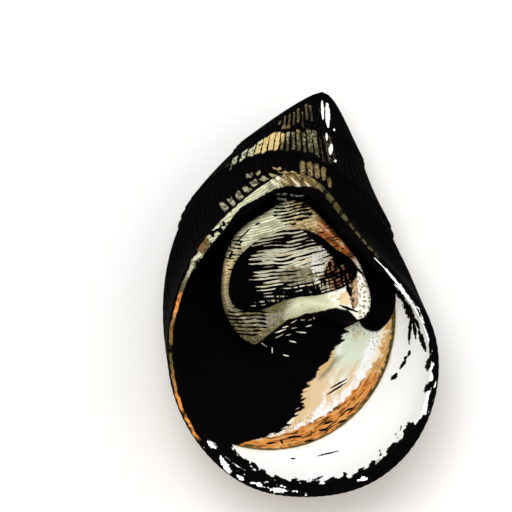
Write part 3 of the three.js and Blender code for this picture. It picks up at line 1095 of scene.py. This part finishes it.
def lip_colours(f, colours, bearing, station, streak):
    """The cup's lip, from green through tan and rust to cream, and the ink on it, partly painted shade on
    the cup's outer wall and under the lip.
    """
    stops = [
        (-180, colours.lip_tan),
        (-150, colours.lip_grey),
        (-106, colours.lip_grey),
        (-88, colours.lip_green),
        (-42, colours.lip_green),
        (-32, colours.lip_cream),
        (2, colours.lip_cream),
        (12, colours.lip_rust),
        (58, colours.lip_rust),
        (68, colours.lip_tan),
        (92, colours.lip_tan),
        (104, colours.lip_green),
        (150, colours.lip_green),
        (180, colours.lip_tan),
    ]
    rusty = f.band(bearing, 8, 96, 8)
    peach = f.smooth(f.ellipse(*PEACH) + f.flecks * 1.6, 1.1, 0.9)
    strip = f.stroke(*LIP_STRIP, taper=0.3, rough=RAGGED_EDGE)
    dotted = f.band(bearing, -60, 10, 8) * f.smooth(f.across, 7.7, 8.0)
    on_foot = f.spot(*CUP_FOOT)
    soft_lines = f.band(bearing, 62, 172, 10) * 0.5 + f.smooth(bearing, -98, -112) * 0.45 + 0.08
    fine = f.ink(f.hatch(slope=0.24, spacing=0.36, reach=1.4, wave=0.2), soft_lines)

    # Ink: hatched patches, painted shade on the cup's outer wall and over everything below the lip's lower
    # side, and strokes
    dark_lines = f.spot(*LINED_BACK) * 0.55 + f.spot(*LINED_LEFT) * 0.36 + f.spot(*LINED_FOOT) * 0.46
    dark_lines = dark_lines + f.smooth(station, 2.2, 1.7) + f.band(bearing, 12, 62, 6) * 0.22
    bold = f.ink(f.hatch(slope=0.12, spacing=0.5, reach=1.1, bend=0.012), dark_lines)
    low_side = f.least(
        f.across * 0.25 + 23.8, 26.1 - f.across * 0.23, 31.1 - f.across, f.across * 0.79 + 24.7
    )
    # Painted shade: black below the lip's lower side
    below = f.smooth(f.up - low_side + f.flecks * 0.4, 0.1, -0.1) * f.smooth(f.across, -7.5, -7.0)
    inked = f.most(bold, below, f.strokes(LIP_STROKES, rough=1.4))
    lip = f.layered(
        f.tint(bearing, -180, 180, stops),
        (colours.hollow_olive, f.band(bearing, -100, -42, 8) * 0.4),
        (colours.hollow_olive, f.smooth(f.across, -7.0, -9.0) * 0.4),
        (colours.lip_tan, f.smooth(streak, 0.06, 0.18) * rusty * 0.7),
        (colours.bark, f.smooth(streak, -0.02, -0.14) * rusty * 0.85),
        (colours.tan, peach * 0.8),
        (colours.tan, f.spot(*PEACH_SPECKS) * f.smooth(f.flecks, 0.0, 0.1) * 0.5),
        (colours.brown, strip * 0.85),
        (colours.tan, strip * f.smooth(f.flecks, -0.02, 0.1) * 0.7),
        (colours.bark, strip * f.smooth(f.across + f.flecks * 3, 7.3, 6.9) * 0.9),
        (colours.hollow_olive, f.dots(0.5, 0.34) * dotted * 0.9),
        (colours.bark, f.smooth(f.flecks, -0.02, 0.1) * (on_foot * 0.6 + 0.06)),
        (colours.lip_tan, f.smooth(f.flecks, -0.06, -0.16) * on_foot * 0.4),
        (colours.moss, fine * 0.6),
        (colours.black, inked),
        (colours.hollow_cream, f.strokes(CUP_DASHES, rough=RAGGED_EDGE) * below),
    )
    return lip, inked


def hollow_colours(f, colours, streak):
    """The cup's hollow, cream and gold with a rust patch, and lines across it; olive and denser ink to the
    left and bottom are painted shade, a pale right strip painted highlight.
    """
    upright = f.grain(f.across * 1.9 + f.up * 0.4, f.up * 0.5, 4)
    clouds = f.smooth(f.grain(f.across * 0.3, f.up * 0.9), 0, 0.2)
    clusters = f.grain(f.across * 0.12, (f.up - f.across * 0.2) * 0.7)
    shaded = f.spot(*HOLLOW_SHADE)
    lit_strip = f.spot(*HOLLOW_LIT_STRIP) * f.smooth(upright, 0.06, -0.04)
    rusted = f.spot(*HOLLOW_RUST)
    bright = f.smooth(f.ellipse(*HOLLOW_LIGHT), 1.1, 0.6)
    amount = 0.42 + clusters * 1.3 - bright * 0.08 - lit_strip * 0.06 + rusted * 0.08 - shaded * 0.1
    # More ink in places: painted shade towards the left and the bottom of the hollow, and darker parts near
    # its top and right
    for darker in (
        f.smooth(f.up - f.across * 0.2, 32.6, 33.8) * 0.16,
        f.smooth(f.across + f.noise(0.5) * 3, -4.4, -8.2) * 0.8,
        f.smooth(f.across * 0.664 + f.up * 0.747 + f.flecks * 0.8, 26.5, 27.0),
        f.smooth(f.up - f.across * 0.15, 28.4, 26.4) * 0.12,
        f.smooth(f.up - f.across * 0.45, 27.8, 26.4) * f.smooth(f.across, 1.5, -1.5) * 0.8,
    ):
        amount = amount + darker
    lines = f.ink(f.hatch(slope=0.2, spacing=0.52, reach=3.0, bend=0.0125, wave=0.26), amount)
    fine = f.ink(f.hatch(slope=0.2, spacing=0.28, reach=2.2, bend=0.0125, wave=0.2), 0.4)
    # Upright strokes: painted shade on the lower part of the hollow, and hatching on the rust patch
    crossed = f.most(f.smooth(f.up - f.across * 0.15, 29.2, 27.4) * 0.5, rusted * 0.52)
    inked = f.most(lines, f.ink(upright * 1.6 + 0.5, crossed))
    hollow = f.layered(
        colours.hollow_cream,
        (colours.gold, clouds * 0.4),
        (colours.rim_green, f.smooth(f.across + f.noise(0.4) * 4, 0.5, -5.0) * 0.45),
        (colours.moss, fine * 0.55),
        # Painted shade in olive and grey across the middle of the hollow
        (colours.hollow_olive, shaded * 0.9),
        (colours.lip_grey, shaded * f.smooth(upright, -0.1, 0.12) * 0.8),
        # Painted highlight: the pale strip on the hollow's right wall
        (colours.lip_cream, lit_strip),
        (colours.lip_rust, rusted * 0.9),
        (colours.tan, rusted * f.smooth(streak, 0.0, 0.12) * 0.7),
        (colours.black, inked),
    )
    return hollow, inked


def cup_finish(colours):
    """The cup: its lip and its hollow, with gloss on the lip and matt ink."""
    f = ShellFinish("shell_cup")
    cosine, sine, station = f.parts("cup")
    bearing = f.math("ARCTAN2", sine, cosine) * (180 / math.pi) + f.noise(0.5) * 24
    streak = f.grain(f.across * 1.3 + f.up * 1.5, f.across * 0.5 - f.up * 0.4, 4)
    lip, lip_ink = lip_colours(f, colours, bearing, station, streak)
    hollow, hollow_ink = hollow_colours(f, colours, streak)
    in_hollow = f.smooth(station, 5.3, 5.55)
    inked = lip_ink + (hollow_ink - lip_ink) * in_hollow
    f.bump(f.noise(1.8, 4) - inked, 0.05)
    gloss = f.smooth(station, 1.7, 2.4) * (1 - inked)
    return f.done(f.layered(lip, (hollow, in_hollow)), 0.5 + inked * 0.35, coat=gloss * 0.25)


class SEASHELL_OT_shell(bpy.types.Operator):
    """Build the shell in place of the frame's solid"""

    bl_idname = "seashell.shell"
    bl_label = "Shell"

    def execute(self, context):
        sizes, colours = context.scene.seashell_sizes, context.scene.seashell_colours
        shift = shift_to_frame()
        points, faces, finish, ring, edge = wall_skin(sizes)
        cup_points, cup_faces, cup_place = cup_skin(sizes)
        # The back is worn flat where it rests on the floor
        points[:, 2] = np.maximum(points[:, 2], -shift[2])

        wall = mesh_object("shell_wall", points, faces)
        cup = mesh_object("shell_cup", cup_points, cup_faces)
        wall.data.polygons.foreach_set("material_index", finish.astype(np.int32))
        cup.data.polygons.foreach_set("material_index", np.full(len(cup_faces), CUP, np.int32))
        materials = (
            outside_finish(colours, sizes),
            rim_finish(colours, sizes),
            inside_finish(colours),
            cup_finish(colours),
        )
        for made in (wall, cup):
            for material in materials:
                made.data.materials.append(material)
        mesh = joined(wall, cup)
        grown = np.empty(len(mesh.vertices) * 3, np.float32)
        mesh.vertices.foreach_get("co", grown)
        grown = grown.reshape(-1, 3) / MM
        on_wall = nearest(points, grown)
        on_cup = nearest(cup_points, grown)
        mark(mesh, "ring", ring[on_wall])
        mark(mesh, "cup", cup_place[on_cup])
        mark(mesh, "plan", np.concatenate([slanted_plan(grown), edge[on_wall][:, None]], -1))

        mesh.vertices.foreach_set("co", ((grown + shift) * MM).astype(np.float32).ravel())
        mesh.shade_smooth()
        mesh.set_sharp_from_angle(angle=SHARP_ANGLE)
        mesh.name = "shell"
        shell = placed("seashell", mesh)
        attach(shell, "root")
        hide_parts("shell")
        return {"FINISHED"}


class SEASHELL_OT_stage(bpy.types.Operator):
    """Lay the floor and set the light and the camera"""

    bl_idname = "seashell.stage"
    bl_label = "Stage"

    def execute(self, context):
        stage = context.scene.seashell_stage
        self.floor(stage)
        self.light(context, stage)
        self.camera(context, stage)
        return {"FINISHED"}

    def floor(self, stage):
        corners = np.array([(-0.5, -0.5, 0), (0.5, -0.5, 0), (0.5, 0.5, 0), (-0.5, 0.5, 0)])
        floor = mesh_object("floor", corners * stage.floor_size / MM, [(0, 1, 2, 3)])
        finish = Finish("pale_floor").done(stage.floor_colour, FLOOR_ROUGHNESS, shine=0.0)
        floor.data.materials.append(finish)

    def light(self, context, stage):
        world = bpy.data.worlds.new("even_light")
        world.use_nodes = True
        background = world.node_tree.nodes["Background"]
        background.inputs["Color"].default_value = (1, 1, 1, 1)
        background.inputs["Strength"].default_value = stage.sky
        context.scene.world = world
        context.scene.view_settings.view_transform = "Standard"
        for name, place, size in LAMPS:
            lamp = bpy.data.lights.new(name, "AREA")
            lamp.energy = getattr(stage, name)
            lamp.size = size
            made = placed(name, lamp)
            made.location = place
            made.rotation_euler = (-Vector(place)).to_track_quat("-Z", "Y").to_euler()

    def camera(self, context, stage):
        """Look from the front at the view's tilt, with the shell where the picture has it."""
        across, up = PICTURE_SIZE / 2 - PICTURE_ZERO[0], PICTURE_ZERO[1] - PICTURE_SIZE / 2
        ahead = (up / PIXELS_PER_MM - AIM_LEVEL * math.cos(VIEW_TILT)) / math.sin(VIEW_TILT)
        aim = Vector((across / PIXELS_PER_MM, ahead, AIM_LEVEL)) + Vector(shift_to_frame())
        lens = bpy.data.cameras.new("camera")
        lens.lens = stage.lens
        lens.clip_end = CLIP_END
        width = PICTURE_SIZE / PIXELS_PER_MM
        back = Vector((0, -math.cos(VIEW_TILT), math.sin(VIEW_TILT)))
        camera = placed("camera", lens)
        camera.location = (aim + back * (width * lens.lens / lens.sensor_width)) * MM
        camera.rotation_euler = (math.pi / 2 - VIEW_TILT, 0, 0)
        context.scene.camera = camera


class SEASHELL_PT_panel(bpy.types.Panel):
    bl_label = "Seashell"
    bl_idname = "SEASHELL_PT_panel"
    bl_space_type = "VIEW_3D"
    bl_region_type = "UI"
    bl_category = "Seashell"

    def draw(self, context):
        scene = context.scene
        for owner in (scene.seashell_sizes, scene.seashell_colours, scene.seashell_stage):
            for name in owner.__annotations__:
                self.layout.prop(owner, name)
        for operator in (SEASHELL_OT_shell, SEASHELL_OT_stage):
            self.layout.operator(operator.bl_idname)


CLASSES = (
    SeashellSizes,
    SeashellColours,
    SeashellStage,
    SEASHELL_OT_shell,
    SEASHELL_OT_stage,
    SEASHELL_PT_panel,
)


def register():
    for cls in CLASSES:
        bpy.utils.register_class(cls)
    bpy.types.Scene.seashell_sizes = bpy.props.PointerProperty(type=SeashellSizes)
    bpy.types.Scene.seashell_colours = bpy.props.PointerProperty(type=SeashellColours)
    bpy.types.Scene.seashell_stage = bpy.props.PointerProperty(type=SeashellStage)


def unregister():
    del bpy.types.Scene.seashell_stage
    del bpy.types.Scene.seashell_colours
    del bpy.types.Scene.seashell_sizes
    for cls in reversed(CLASSES):
        bpy.utils.unregister_class(cls)


def main():
    register()
    bpy.ops.seashell.shell()
    bpy.ops.seashell.stage()


if __name__ == "__main__":
    main()
